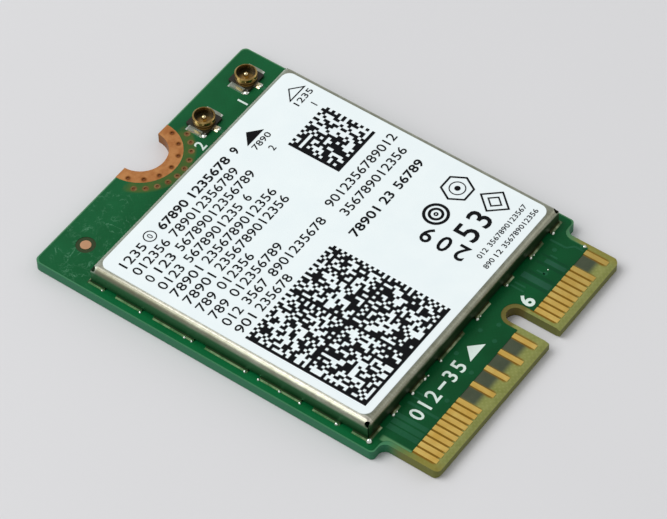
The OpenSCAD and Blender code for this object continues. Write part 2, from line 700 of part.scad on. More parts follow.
// Moulded body on a wider substrate, with a dimple at its first corner
module radio_chip() color("dimgray") on_board() translate([chip_at[0], chip_at[1], ball_h]) {
    translate([-chip_w / 2, -chip_w / 2, 0]) cube([chip_w, chip_w, chip_substrate_t]);
    difference() {
        translate([-chip_w / 2 + 0.3, -chip_w / 2 + 0.3, 0])
            cube([chip_w - 0.6, chip_w - 0.6, chip_h]);
        translate([-chip_w / 2 + 1, chip_w / 2 - 1, chip_h - 0.05]) cylinder(r = 0.3, h = over);
    }
}

module radio_chip_balls() color("silver") on_board() translate([chip_at[0], chip_at[1], 0])
    for (i = [0:balls - 1], j = [0:balls - 1])
        translate([(i - (balls - 1) / 2) * ball_pitch, (j - (balls - 1) / 2) * ball_pitch, 0])
            cylinder(r = 0.16, h = ball_h, $fn = 8);

// Amplifier module: a moulded block with a dimple at its first corner
module amplifier(x) on_board() translate([x, amplifier_y, 0]) difference() {
    translate([-amplifier_w / 2, -amplifier_w / 2, 0])
        cube([amplifier_w, amplifier_w, amplifier_h]);
    translate([-amplifier_w / 2 + 0.5, amplifier_w / 2 - 0.5, amplifier_h - 0.05])
        cylinder(r = 0.15, h = over);
}

module amplifier_main() color("dimgray") amplifier(main_amplifier_x);
module amplifier_aux() color("dimgray") amplifier(aux_amplifier_x);

module diplexers() color("lightsteelblue") on_board() for (x = socket_x)
    translate([x, diplexer_y, diplexer_size[2] / 2]) cube(diplexer_size, center = true);

module crystal_base() color("lightgray") on_board()
    translate([crystal_at[0], crystal_at[1], (crystal_h - lid_t) / 2])
        cube([crystal_l, crystal_w, crystal_h - lid_t], center = true);

module crystal_lid() color("gainsboro") on_board()
    translate([crystal_at[0], crystal_at[1], crystal_h - lid_t / 2])
        cube([crystal_l - 0.2, crystal_w - 0.2, lid_t], center = true);

module inductor_bodies() color("dimgray") on_board() at_places(inductor_places)
    end_part_body(inductor_size);
module inductor_ends() color("silver") on_board() at_places(inductor_places)
    end_part_bands(inductor_size);

module capacitor_bodies() color("tan") on_board() {
    at_places(large_cap_places) end_part_body(large_cap_size);
    at_places(small_cap_places) end_part_body(small_cap_size);
}
module capacitor_ends() color("silver") on_board() {
    at_places(large_cap_places) end_part_bands(large_cap_size);
    at_places(small_cap_places) end_part_bands(small_cap_size);
}

module resistor_bodies() color("black") on_board() at_places(resistor_places)
    end_part_body(resistor_size);
module resistor_ends() color("silver") on_board() at_places(resistor_places)
    end_part_bands(resistor_size);

circuit_board();
solder_mask_top();
solder_mask_bottom();
contact_fingers_top();
contact_fingers_bottom();
board_ground_ring();
stitching_vias();
fiducial_dot();
test_pads();
silkscreen_marks();
shield_can();
shield_solder();
label();
label_print();
main_socket_shell();
main_socket_insulator();
main_socket_pin();
aux_socket_shell();
aux_socket_insulator();
aux_socket_pin();
socket_solder();
component_lands();
radio_chip();
radio_chip_balls();
amplifier_main();
amplifier_aux();
diplexers();
crystal_base();
crystal_lid();
inductor_bodies();
inductor_ends();
capacitor_bodies();
capacitor_ends();
resistor_bodies();
resistor_ends();
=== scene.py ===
import math
import random

import bmesh
import bpy
from mathutils import Matrix, Vector


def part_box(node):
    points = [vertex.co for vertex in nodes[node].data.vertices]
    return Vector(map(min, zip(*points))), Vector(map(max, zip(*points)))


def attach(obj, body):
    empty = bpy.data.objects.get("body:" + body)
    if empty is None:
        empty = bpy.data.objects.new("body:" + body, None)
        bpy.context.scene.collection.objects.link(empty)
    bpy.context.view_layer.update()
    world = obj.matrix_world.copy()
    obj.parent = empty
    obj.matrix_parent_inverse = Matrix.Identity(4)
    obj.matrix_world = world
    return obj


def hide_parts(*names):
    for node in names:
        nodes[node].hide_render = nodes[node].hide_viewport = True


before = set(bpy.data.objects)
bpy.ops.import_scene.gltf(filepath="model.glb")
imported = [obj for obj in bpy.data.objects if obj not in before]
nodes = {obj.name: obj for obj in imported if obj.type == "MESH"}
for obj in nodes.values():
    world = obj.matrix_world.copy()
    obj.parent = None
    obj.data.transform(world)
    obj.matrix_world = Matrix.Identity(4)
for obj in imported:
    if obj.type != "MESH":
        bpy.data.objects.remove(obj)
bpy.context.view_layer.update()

MM = 0.001
rng = random.Random(11)


def box(name):
    """Lowest and highest corners of a CAD node, in millimetres."""
    lo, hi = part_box(name)
    return lo / MM, hi / MM


# Sizes and places on the card, in millimetres
board_lo, board_hi = box("circuit_board")
mask_lo, mask_hi = box("solder_mask_top")
can_lo, can_hi = box("shield_can")
label_lo, label_hi = box("label")
ring_lo, ring_hi = box("board_ground_ring")
dot_lo, dot_hi = box("fiducial_dot")
fingers_lo, fingers_hi = box("contact_fingers_top")

BOARD_TOP = mask_hi.z
CAN_TOP = can_hi.z
LABEL_TOP = label_hi.z
END_Y = board_hi.y
EDGE_Y = board_lo.y
FRONT_Y = can_lo.y
REAR_Y = can_hi.y
SIDE_X = can_hi.x
FINGER_END_Y = fingers_hi.y
RING_R = ring_hi.x
DOT_X, DOT_Y = (dot_lo.x + dot_hi.x) / 2, (dot_lo.y + dot_hi.y) / 2
DOT_OPENING_R = 0.65
SOCKET_X = [(lo.x + hi.x) / 2 for lo, hi in (box("main_socket_pin"), box("aux_socket_pin"))]
SHELL = box("main_socket_shell")
SOCKET_Y = (SHELL[0].y + SHELL[1].y) / 2
SOCKET_RIM_Z = SHELL[1].z

# Contacts are numbered from the +X side and the key takes the place of 24 to 31
CONTACT_PITCH = 0.5
MID_CONTACT, KEY_CONTACT = 38, 27.5
LONE_CONTACTS = (1, 33, 39, 45, 51)
KEY_W, KEY_DEPTH = 1.2, 3.5
KEY_END_Y = EDGE_Y + KEY_DEPTH - KEY_W / 2

# Vias of the copper ring and of the arc outside it: radius and degrees between two of them
RING_VIAS = (2.42, 24.4)
ARC_VIAS = (3.2, 13.6)
RING_VIA_COUNT, ARC_VIA_COUNT = 7, 10
ARC_VIA_LAST = ARC_VIAS[1] * (ARC_VIA_COUNT - 1) / 2


# Wide traces from the contacts on the +X side, as x from and to, with their length
WIDE_TRACES = ((5.36, 5.82, 2.1), (7.12, 7.46, 1.5))
WIDE_GAPS = ((5.06, 5.3), (5.9, 6.14), (6.85, 7.06), (7.54, 7.7))


def contact_x(n):
    return CONTACT_PITCH / 2 * (MID_CONTACT - n)


KEY_X = contact_x(KEY_CONTACT)


def srgb(r, g, b):
    """Colour of an sRGB triple from 0 to 255, as linear RGBA."""
    def one(c):
        c = c / 255
        return c / 12.92 if c <= 0.04045 else ((c + 0.055) / 1.055) ** 2.4
    return (one(r), one(g), one(b), 1.0)


# Materials

class Mat:
    """A node material with short helpers for building its graph."""

    def __init__(self, name):
        self.m = bpy.data.materials.new(name)
        self.m.use_nodes = True
        self.t = self.m.node_tree
        self.bsdf = next(n for n in self.t.nodes if n.type == "BSDF_PRINCIPLED")
        self.coord = None

    def new(self, kind, **props):
        n = self.t.nodes.new(kind)
        for k, v in props.items():
            setattr(n, k, v)
        return n

    def link(self, a, b):
        self.t.links.new(a, b)

    def pos(self):
        """Place on the card, in millimetres."""
        if self.coord is None:
            tc = self.new("ShaderNodeTexCoord")
            vm = self.new("ShaderNodeVectorMath", operation="SCALE")
            vm.inputs["Scale"].default_value = 1 / MM
            self.link(tc.outputs["Object"], vm.inputs[0])
            sx = self.new("ShaderNodeSeparateXYZ")
            self.link(vm.outputs[0], sx.inputs[0])
            self.coord = (vm.outputs[0], sx.outputs[0], sx.outputs[1], sx.outputs[2])
        return self.coord

    def math(self, op, a, b=None, c=None, clamp=False):
        n = self.new("ShaderNodeMath", operation=op, use_clamp=clamp)
        for i, v in enumerate((a, b, c)):
            if v is None:
                continue
            if isinstance(v, (int, float)):
                n.inputs[i].default_value = v
            else:
                self.link(v, n.inputs[i])
        return n.outputs[0]

    def times(self, *parts):
        out = parts[0]
        for p in parts[1:]:
            out = self.math("MULTIPLY", out, p)
        return out

    def most(self, parts):
        out = parts[0]
        for p in parts[1:]:
            out = self.math("MAXIMUM", out, p)
        return out

    def noise(self, scale, detail=4.0, rough=0.55, vector=None, dist=0.0):
        n = self.new("ShaderNodeTexNoise")
        n.inputs["Scale"].default_value = scale
        n.inputs["Detail"].default_value = detail
        n.inputs["Roughness"].default_value = rough
        n.inputs["Distortion"].default_value = dist
        self.link(vector or self.pos()[0], n.inputs["Vector"])
        return n.outputs["Fac"]

    def stretch(self, sx, sy, sz):
        m = self.new("ShaderNodeVectorMath", operation="MULTIPLY")
        m.inputs[1].default_value = (sx, sy, sz)
        self.link(self.pos()[0], m.inputs[0])
        return m.outputs[0]

    def remap(self, v, lo, hi, to_lo=0.0, to_hi=1.0, smooth=False):
        n = self.new("ShaderNodeMapRange")
        n.interpolation_type = "SMOOTHSTEP" if smooth else "LINEAR"
        n.inputs["From Min"].default_value = lo
        n.inputs["From Max"].default_value = hi
        n.inputs["To Min"].default_value = to_lo
        n.inputs["To Max"].default_value = to_hi
        self.link(v, n.inputs["Value"])
        return n.outputs[0]

    def band(self, v, lo, hi, soft):
        """1 between lo and hi, fading over soft on both sides."""
        a = self.remap(v, lo - soft / 2, lo + soft / 2, smooth=True)
        b = self.remap(v, hi - soft / 2, hi + soft / 2, 1.0, 0.0, smooth=True)
        return self.times(a, b)

    def patch(self, x0, x1, y0, y1, soft=0.06, soft_y=None):
        """1 inside a rectangle of the plan."""
        _, x, y, _ = self.pos()
        return self.times(self.band(x, x0, x1, soft), self.band(y, y0, y1, soft_y or soft))

    def weave(self, per_mm):
        """Crossing threads of the glass cloth."""
        _, x, y, _ = self.pos()
        return self.times(self.math("SINE", self.math("MULTIPLY", x, per_mm)),
                          self.math("SINE", self.math("MULTIPLY", y, per_mm)))

    def radius(self, cx, cy):
        """Distance in plan from a point on the card."""
        _, x, y, _ = self.pos()
        dx, dy = self.math("SUBTRACT", x, cx), self.math("SUBTRACT", y, cy)
        return self.math("SQRT", self.math("ADD", self.times(dx, dx), self.times(dy, dy)))

    def notch_turn(self):
        """Angle about the middle of the notch, in degrees from straight across the card."""
        _, x, y, _ = self.pos()
        turn = self.math("ARCTAN2", x, self.math("SUBTRACT", END_Y, y))
        return self.math("MULTIPLY", turn, 180 / math.pi)

    def from_vias(self, vias, between):
        """Distance from the nearest via of an arc. Between says that the middle has none."""
        r, step = vias
        n = self.math("DIVIDE", self.notch_turn(), step)
        if between:
            n = self.math("ADD", n, 0.5)
        off = self.math("MULTIPLY", self.math("SUBTRACT", n, self.math("ROUND", n)),
                        r * math.radians(step))
        rise = self.math("SUBTRACT", self.radius(0.0, END_Y), r)
        return self.math("SQRT", self.math("ADD", self.times(off, off), self.times(rise, rise)))

    def upright(self):
        """1 on walls and 0 on flat faces."""
        geo = self.new("ShaderNodeNewGeometry")
        nz = self.new("ShaderNodeSeparateXYZ")
        self.link(geo.outputs["True Normal"], nz.inputs[0])
        return self.remap(self.math("ABSOLUTE", nz.outputs[2]), 0.35, 0.75, 1.0, 0.0)

    def mix(self, fac, a, b):
        n = self.new("ShaderNodeMix", data_type="RGBA")
        n.clamp_factor = True
        if isinstance(fac, (int, float)):
            n.inputs[0].default_value = fac
        else:
            self.link(fac, n.inputs[0])
        for sock, v in ((n.inputs[6], a), (n.inputs[7], b)):
            if isinstance(v, tuple):
                sock.default_value = v
            else:
                self.link(v, sock)
        return n.outputs[2]

    def stained(self, amount, under, over):
        """Colour mix whose share is the product of the amounts."""
        return self.mix(self.times(*amount), under, over)

    def bump(self, height, strength, distance=0.01):
        """Bump from a height value. Distance is in millimetres."""
        n = self.new("ShaderNodeBump")
        n.inputs["Strength"].default_value = strength
        n.inputs["Distance"].default_value = distance * MM
        self.link(height, n.inputs["Height"])
        self.link(n.outputs[0], self.bsdf.inputs["Normal"])

    def set(self, **kw):
        for k, v in kw.items():
            sock = self.bsdf.inputs[k.replace("_", " ")]
            if isinstance(v, (int, float, tuple)):
                sock.default_value = v
            else:
                self.link(v, sock)
        return self


def soft_metal(name, light, dark, rough=(0.25, 0.4), grain=8.0, bump=0.15):
    """Metal with faint stains, uneven gloss and a fine grain."""
    m = Mat(name)
    stains = m.noise(grain * 0.35, 5.0)
    fine = m.noise(grain * 4, 3.0)
    m.set(Base_Color=m.mix(m.remap(stains, 0.35, 0.65), light, dark), Metallic=1.0,
          Roughness=m.remap(fine, 0.3, 0.7, rough[0], rough[1]))
    m.bump(fine, bump)
    return m.m


def mask_material(name, deep, light, gloss=0.34):
    """Green solder mask over copper, with a weave that just shows through."""
    m = Mat(name)
    _, x, y, z = m.pos()
    cloud = m.noise(0.45, 4.0)
    weave = m.weave(21.0)
    base = m.mix(m.remap(cloud, 0.25, 0.75), deep, light)
    base = m.mix(m.remap(weave, 0.2, 1.0, 0.0, 0.1), base, srgb(24, 122, 66))
    base = m.mix(m.remap(m.noise(9.0, 4.0), 0.6, 0.75, 0.0, 0.3), base, srgb(2, 46, 22))
    # painted sheen, paler towards the mounting end, and painted shade, deeper towards the contacts
    base = m.mix(m.remap(y, REAR_Y - 4, END_Y, 0.0, 0.3), base, srgb(34, 84, 56))
    base = m.mix(m.remap(y, FRONT_Y + 1, FINGER_END_Y, 0.0, 0.5), base, srgb(0, 40, 18))
    # deeper between the wide traces
    deep = m.most([m.patch(a, b, FINGER_END_Y + 0.1, FINGER_END_Y + 2.1, 0.12, 0.5)
                   for a, b in WIDE_GAPS])
    base = m.stained([deep, 0.4], base, srgb(0, 52, 32))
    # clear and bright on the narrow margin beside the shield
    margin = m.patch(board_lo.x, -SIDE_X - 0.25, FRONT_Y, REAR_Y, 0.2, 3.0)
    base = m.stained([margin, 0.32], base, srgb(4, 116, 66))
    # fine pale hairs in the clear corner beside the fiducial
    hair = m.math("ABSOLUTE", m.math("SUBTRACT", m.noise(0.9, 4.0, 0.6, dist=1.6), 0.5))
    hair = m.remap(hair, 0.0, 0.026, 1.0, 0.0)
    corner = m.patch(board_lo.x, -RING_R - 0.6, REAR_Y, END_Y, 1.2)
    base = m.stained([hair, corner, m.remap(m.noise(1.1, 3.0), 0.45, 0.68, 0.0, 0.6)],
                     base, srgb(104, 160, 128))
    # no copper below the mask beside the ring: olive there, and brown about the outer vias
    turn = m.math("ABSOLUTE", m.notch_turn())
    reach = m.remap(turn, ARC_VIA_LAST + 2, ARC_VIA_LAST + 14, 1.0, 0.0, smooth=True)
    zone = m.band(m.radius(0.0, END_Y), RING_R, ARC_VIAS[0] + 0.3, 0.24)
    base = m.stained([zone, reach, m.remap(m.noise(2.2, 3.0), 0.35, 0.65, 0.55, 0.95)],
                     base, srgb(74, 96, 40))
    halo = m.remap(m.from_vias(ARC_VIAS, True), 0.17, 0.27, 0.75, 0.0, smooth=True)
    base = m.stained([halo, reach], base, srgb(116, 84, 44))
    # the mask is paler in a band along the sides of the tongue, near the edge of the mask
    pale_edge = m.most([m.patch(lo, hi, FINGER_END_Y - 0.35, FINGER_END_Y + long, 0.16, 0.3)
                   for lo, hi, long in ((mask_lo.x + 1.0, mask_lo.x + 1.4, 2.1),
                                        (mask_hi.x - 1.3, mask_hi.x - 1.0, 1.35))])
    base = m.stained([pale_edge, 0.6], base, srgb(112, 166, 116))
    m.set(Base_Color=base, Roughness=m.remap(cloud, 0.3, 0.7, gloss - 0.05, gloss + 0.06),
          Specular_IOR_Level=0.14, Coat_Weight=0.06, Coat_Roughness=0.12)
    m.bump(m.math("ADD", m.math("MULTIPLY", weave, 0.15), m.noise(5.0, 3.0)), 0.2, 0.02)
    return m.m


def laminate_material():
    """Bare glass-fibre laminate: olive with a weave, inner copper showing dark, green sides."""
    m = Mat("bare_laminate")
    _, x, y, z = m.pos()
    cloud = m.noise(1.2, 4.0)
    weave = m.weave(18.0)
    col = m.mix(m.remap(cloud, 0.3, 0.7), srgb(124, 130, 66), srgb(140, 144, 82))
    col = m.mix(m.remap(weave, 0.1, 1.0, 0.0, 0.3), col, srgb(160, 164, 104))
    # warmer along the sides of the tongue, and green where the -X one nears the shoulder
    left = m.remap(x, mask_lo.x + 1.9, mask_lo.x + 1.2)
    right = m.remap(x, mask_hi.x - 1.6, mask_hi.x - 1.0)
    col = m.stained([m.most([left, right]), 0.6], col, srgb(132, 118, 40))
    col = m.stained([left, m.remap(y, FINGER_END_Y - 0.7, FINGER_END_Y + 0.5), 0.75], col,
                    srgb(82, 116, 66))
    # brown shade in the gaps of close contacts and beside the lone ones
    lo_y, hi_y = EDGE_Y + 0.55, FINGER_END_Y + 0.3
    brown = m.most([m.patch(contact_x(a) - 0.3, contact_x(b) + 0.25, lo_y, hi_y, 0.12, 0.3)
                    for a, b in ((75, 57), (23, 7))]
                   + [m.patch(contact_x(n) - 0.3, contact_x(n) + 0.3, lo_y, hi_y, 0.16, 0.4)
                      for n in LONE_CONTACTS])
    col = m.stained([brown, 0.96], col, srgb(124, 90, 8))
    # dark inner copper between the lone contacts
    inner = m.most([m.patch(contact_x(a) + 0.25, contact_x(b) - 0.25, EDGE_Y + 1.0,
                            FINGER_END_Y + 0.3, 0.16, 0.5)
                    for a, b in ((57, 51), (51, 45), (45, 39), (39, 33), (7, 1))])
    col = m.stained([inner, 0.94], col, m.mix(cloud, srgb(52, 62, 50), srgb(72, 80, 66)))
    # the sides of the board look green through the edge of the mask, and olive at the tongue
    side = m.upright()
    slot = m.remap(m.radius(KEY_X, KEY_END_Y), KEY_W, KEY_W + 0.3)
    body = m.times(m.remap(y, FINGER_END_Y + 0.25, FINGER_END_Y + 1.75, smooth=True), slot)
    layers = m.remap(m.math("SINE", m.math("MULTIPLY", z, 42.0)), -1.0, 1.0, 0.0, 0.5)
    edge = m.mix(layers, srgb(22, 100, 66), srgb(54, 124, 88))
    olive_edge = m.mix(layers, srgb(106, 108, 44), srgb(92, 94, 36))
    col = m.mix(side, col, m.mix(body, olive_edge, edge))
    # the pulled-back margin around the body is green and pale, and brown at the key slot
    flat = m.math("SUBTRACT", 1.0, side)
    col = m.stained([flat, body, 0.85], col, srgb(60, 130, 94))
    rim = m.times(m.remap(m.radius(KEY_X, KEY_END_Y), KEY_W - 0.25, KEY_W - 0.15, 1.0, 0.0),
                  m.remap(y, KEY_END_Y - 0.5, KEY_END_Y - 0.2))
    col = m.stained([rim, 0.75], col, srgb(98, 84, 34))
    # inside the opening round the fiducial it is dark
    dot = m.remap(m.radius(DOT_X, DOT_Y), DOT_OPENING_R + 0.05, DOT_OPENING_R + 0.15, 1.0, 0.0)
    col = m.mix(dot, col, srgb(50, 64, 38))
    m.set(Base_Color=col, Roughness=0.42, Specular_IOR_Level=0.16, Coat_Weight=0.05,
          Coat_Roughness=0.3)
    m.bump(m.math("ADD", weave, m.noise(12.0, 4.0)), 0.2, 0.015)
    return m.m


def shield_material():
    """Tinned sheet: satin on top and on the folds, with painted highlights beside the label and on
    the folds, painted shade on the folds, and painted reflection of the board and painted shade
    making it greener and darker down the walls."""
    m = Mat("shield_sheet")
    _, x, y, z = m.pos()
    stains = m.noise(0.9, 5.0)
    brushed = m.noise(3.2, 4.0, 0.7, m.stretch(3.0, 0.9, 3.0))
    fine = m.noise(26.0, 3.0, vector=m.stretch(1.0, 0.3, 1.0))
    col = m.mix(m.remap(stains, 0.35, 0.65), srgb(190, 194, 178), srgb(166, 170, 152))
    left = m.remap(x, -SIDE_X + 0.55, -SIDE_X + 0.25)
    front = m.remap(y, FRONT_Y + 0.5, FRONT_Y + 0.2)
    rear = m.remap(y, REAR_Y - 0.45, REAR_Y - 0.2)
    # painted shade on the long fold, darker and rougher near the mounting end, less so near the
    # contacts
    dull_and_shade = m.times(left, m.remap(y, -4.0, 7.0, 0.28, 1.0))
    col = m.stained([dull_and_shade, 0.85], col, srgb(112, 112, 92))
    # with a painted highlight as a pale margin beside the label
    margin = m.band(x, -SIDE_X + 0.28, label_lo.x + 0.1, 0.06)
    col = m.stained([margin, m.remap(y, 10.0, 6.0, 0.3, 0.85)], col, srgb(238, 234, 220))
    # painted highlight along the long fold
    lit = m.band(x, -SIDE_X + 0.18, -SIDE_X + 0.28, 0.08)
    col = m.stained([lit, m.remap(fine, 0.35, 0.65, 0.0, 0.45)], col, srgb(214, 210, 194))
    # painted shade on the front fold and painted highlight on the rear fold
    col = m.stained([front, 0.3], col, srgb(134, 126, 100))
    col = m.stained([rear, 0.7], col, srgb(216, 230, 214))
    col = m.mix(m.remap(brushed, 0.42, 0.66, 0.0, 0.4), col, srgb(116, 112, 88))
    # painted reflection of the board and painted shade: greener and darker down the walls, greener
    # on the -X side
    wall = m.remap(z, CAN_TOP - 0.16, CAN_TOP - 0.5, smooth=True)
    col = m.stained([wall, 0.92], col, m.mix(left, srgb(72, 90, 58), srgb(56, 118, 76)))
    # painted shade and painted reflection of the board, darker still towards the foot of the walls
    foot_shade_reflection = m.remap(z, BOARD_TOP + 0.6, BOARD_TOP + 0.15, smooth=True)
    col = m.stained([foot_shade_reflection, 0.75], col, m.mix(left, srgb(22, 52, 28), srgb(28, 104, 58)))
    m.set(Base_Color=col, Metallic=1.0,
          Roughness=m.math("ADD", m.remap(fine, 0.3, 0.7, 0.3, 0.4), m.math("MULTIPLY", dull_and_shade, 0.16)))
    m.bump(fine, 0.35)
    return m.m


def solder_material():
    """Solder of the shield's feet, with painted light: a pale toe as a painted highlight, dark
    green-brown up to the wall as painted shade and painted reflection.
    """
    m = Mat("solder_painted_shade")
    _, x, y, z = m.pos()
    patchy = m.noise(1.6, 4.0)
    fine = m.noise(14.0, 4.0)
    # painted highlight on the pale toe, painted shade and painted reflection dark up towards the
    # wall
    toe = m.mix(m.remap(patchy, 0.42, 0.6), srgb(70, 88, 60), srgb(150, 162, 128))
    shade_and_reflection = m.mix(m.remap(patchy, 0.4, 0.6), srgb(36, 46, 22), srgb(70, 70, 40))
    col = m.mix(m.remap(z, BOARD_TOP + 0.02, BOARD_TOP + 0.08, smooth=True), toe, shade_and_reflection)
    # painted shade and painted reflection, darker and greener on the -X side
    left = m.remap(x, -SIDE_X + 0.1, -SIDE_X - 0.02)
    col = m.stained([left, 0.84], col, srgb(46, 72, 44))
    m.set(Base_Color=col, Metallic=1.0, Roughness=m.remap(fine, 0.3, 0.7, 0.34, 0.52))
    m.bump(fine, 0.5)
    return m.m


def label_material():
    """Coated white label stock."""
    m = Mat("label_stock")
    _, x, y, z = m.pos()
    cloud = m.noise(0.5, 3.0)
    col = m.mix(m.remap(cloud, 0.3, 0.7), srgb(242, 251, 252), srgb(238, 248, 250))
    # painted shade on the label's cut edge, greyer below its top face
    col = m.mix(m.remap(z, label_lo.z, LABEL_TOP - 0.02, 1.0, 0.0), col, srgb(198, 207, 202))
    m.set(Base_Color=col, Roughness=0.42, Specular_IOR_Level=0.3)
    m.bump(m.math("ADD", m.noise(30.0, 3.0), m.math("MULTIPLY", cloud, 3.0)), 0.12)
    return m.m


def gold_material():
    """Gold plate of the contacts, with painted shade darker towards the +X side."""
    m = Mat("contact_gold")
    _, x, y, z = m.pos()
    stains = m.noise(1.1, 5.0)
    drawn = m.noise(12.0, 3.0, vector=m.stretch(1.0, 0.12, 1.0))
    col = m.mix(m.remap(stains, 0.35, 0.65), srgb(254, 218, 124), srgb(240, 196, 98))
    # painted shade towards the +X side
    col = m.mix(m.remap(x, 4.0, 10.0, 0.0, 0.6), col, srgb(196, 172, 96))
    m.set(Base_Color=col, Metallic=1.0, Roughness=m.remap(drawn, 0.3, 0.7, 0.28, 0.4))
    m.bump(drawn, 0.1)
    return m.m


def socket_material():
    """Gold plate of the sockets, wetted with solder where the tabs lie on the board."""
    m = Mat("socket_gold")
    _, x, y, z = m.pos()
    stains = m.noise(3.0, 4.0)
    col = m.mix(m.remap(stains, 0.35, 0.65), srgb(196, 166, 104), srgb(142, 114, 62))
    # painted shade, darker down the ring towards the board
    col = m.mix(m.remap(z, SOCKET_RIM_Z - 0.1, SOCKET_RIM_Z - 0.36, 0.0, 0.7, smooth=True), col,
                srgb(96, 76, 36))
    wet = m.times(m.remap(z, BOARD_TOP + 0.19, BOARD_TOP + 0.13),
                  m.remap(stains, 0.3, 0.5, 0.6, 1.0))
    m.set(Base_Color=m.mix(wet, col, srgb(176, 184, 170)), Metallic=1.0,
          Roughness=m.remap(m.noise(20.0, 3.0), 0.3, 0.7, 0.2, 0.34))
    m.bump(stains, 0.15)
    return m.m


def insulator_material():
    """Dark plastic of the sockets, with a painted reflection of the gold ring on its -X and -Y side.
    """
    m = Mat("socket_plastic")
    grain = m.noise(24.0, 4.0)
    col = m.mix(m.remap(m.noise(3.0, 4.0), 0.3, 0.7), srgb(20, 19, 8), srgb(38, 35, 20))
    # painted reflection of the gold ring, about a point just -X and -Y of each socket's middle
    lit = m.most([m.remap(m.radius(x - 0.2, SOCKET_Y - 0.16), 0.32, 0.65, 1.0, 0.0)
                  for x in SOCKET_X])
    col = m.stained([lit, 0.85], col, srgb(164, 126, 54))
    m.set(Base_Color=col, Roughness=m.remap(grain, 0.3, 0.7, 0.24, 0.36), Coat_Weight=0.1)
    m.bump(grain, 0.2)
    return m.m


def copper_material():
    """Bare copper: brown about the ring's vias, painted shade brown on the wall of the notch, pale
    in the fiducial."""
    m = Mat("ring_copper")
    stains = m.noise(1.8, 5.0)
    fine = m.noise(20.0, 3.0)
    col = m.mix(m.remap(stains, 0.35, 0.65), srgb(222, 158, 100), srgb(196, 128, 76))
    halo = m.remap(m.from_vias(RING_VIAS, False), 0.1, 0.26, 0.85, 0.0, smooth=True)
    col = m.mix(halo, col, srgb(126, 70, 22))
    # painted shade on the upright walls
    col = m.stained([m.upright(), 0.85], col, srgb(132, 84, 38))
    dot = m.remap(m.radius(DOT_X, DOT_Y), DOT_OPENING_R, DOT_OPENING_R + 0.1, 0.8, 0.0)
    col = m.mix(dot, col, srgb(222, 176, 140))
    m.set(Base_Color=col, Metallic=1.0, Roughness=m.remap(fine, 0.3, 0.7, 0.36, 0.52))
    m.bump(fine, 0.15)
    return m.m


def ink_material(name, dark, pale, specular):
    m = Mat(name)
    grain = m.noise(14.0, 4.0)
    m.set(Base_Color=m.mix(m.remap(grain, 0.5, 0.8, 0.0, 0.35), dark, pale), Roughness=0.5,
          Specular_IOR_Level=specular)
    m.bump(grain, 0.1)
    return m.m


def plain_body(name, a, b, rough, scale=3.0):
    """Moulded or fired body with faint mottling and a fine grain."""
    m = Mat(name)
    grain = m.noise(scale * 8, 4.0)
    m.set(Base_Color=m.mix(m.remap(m.noise(scale, 4.0), 0.3, 0.7), a, b),
          Roughness=m.remap(grain, 0.3, 0.7, rough - 0.06, rough + 0.06))
    m.bump(grain, 0.2)
    return m.m


MASK = mask_material("solder_mask_green", srgb(2, 80, 38), srgb(5, 99, 52))
TRACE = mask_material("solder_mask_on_trace", srgb(28, 98, 64), srgb(42, 112, 76), 0.28)
WIDE = mask_material("solder_mask_on_wide_trace", srgb(30, 92, 64), srgb(50, 110, 84), 0.3)
LAMINATE = laminate_material()
LABEL = label_material()
INK = ink_material("label_ink", srgb(5, 6, 10), srgb(40, 42, 48), 0.12)
SILK = ink_material("board_print", srgb(222, 238, 230), srgb(178, 206, 190), 0.25)
GOLD = gold_material()
COPPER = copper_material()
VIA = soft_metal("via_plating", srgb(168, 138, 92), srgb(124, 92, 56), (0.3, 0.45), 9.0)
PLUG = plain_body("via_fill", srgb(136, 74, 22), srgb(100, 54, 14), 0.5)
SHEET = shield_material()
SOLDER = solder_material()
BRIGHT = soft_metal("solder_bright", srgb(252, 254, 250), srgb(214, 222, 208), (0.14, 0.24), 2.5,
                    bump=0.12)
SOCKET = socket_material()
PIN = soft_metal("socket_pin", srgb(238, 226, 188), srgb(214, 192, 142), (0.14, 0.24), 4.0)
INSULATOR = insulator_material()
MOULD = plain_body("chip_mould", srgb(34, 35, 37), srgb(44, 45, 47), 0.55)
CERAMIC = plain_body("filter_ceramic", srgb(196, 208, 216), srgb(176, 190, 202), 0.4)
CRYSTAL = plain_body("crystal_ceramic", srgb(70, 64, 58), srgb(84, 78, 70), 0.5)
LID = soft_metal("crystal_metal", srgb(206, 206, 200), srgb(186, 186, 180), (0.25, 0.4), 4.0)
FERRITE = plain_body("ferrite", srgb(52, 52, 54), srgb(66, 64, 64), 0.6)
TAN = plain_body("capacitor_ceramic", srgb(172, 140, 104), srgb(152, 120, 86), 0.4)
RESIST = plain_body("resistor_ceramic", srgb(22, 22, 26), srgb(34, 34, 38), 0.3)
TINNED = soft_metal("tinned_ends", srgb(206, 206, 200), srgb(176, 176, 170), (0.25, 0.4), 6.0)

LOOKS = {
    "circuit_board": LAMINATE, "solder_mask_top": MASK, "solder_mask_bottom": MASK,
    "contact_fingers_top": GOLD, "contact_fingers_bottom": GOLD, "board_ground_ring": COPPER,
    "stitching_vias": VIA, "fiducial_dot": COPPER, "test_pads": GOLD, "silkscreen_marks": SILK,
    "shield_can": SHEET, "shield_solder": SOLDER, "label": LABEL, "label_print": INK,
    "main_socket_shell": SOCKET, "aux_socket_shell": SOCKET, "main_socket_pin": PIN,
    "aux_socket_pin": PIN, "main_socket_insulator": INSULATOR,
    "aux_socket_insulator": INSULATOR, "socket_solder": BRIGHT, "component_lands": SOLDER,
    "radio_chip": MOULD, "radio_chip_balls": SOLDER, "amplifier_main": MOULD,
    "amplifier_aux": MOULD, "diplexers": CERAMIC, "crystal_base": CRYSTAL, "crystal_lid": LID,
    "inductor_bodies": FERRITE, "inductor_ends": TINNED, "capacitor_bodies": TAN,
    "capacitor_ends": TINNED, "resistor_bodies": RESIST, "resistor_ends": TINNED,
}
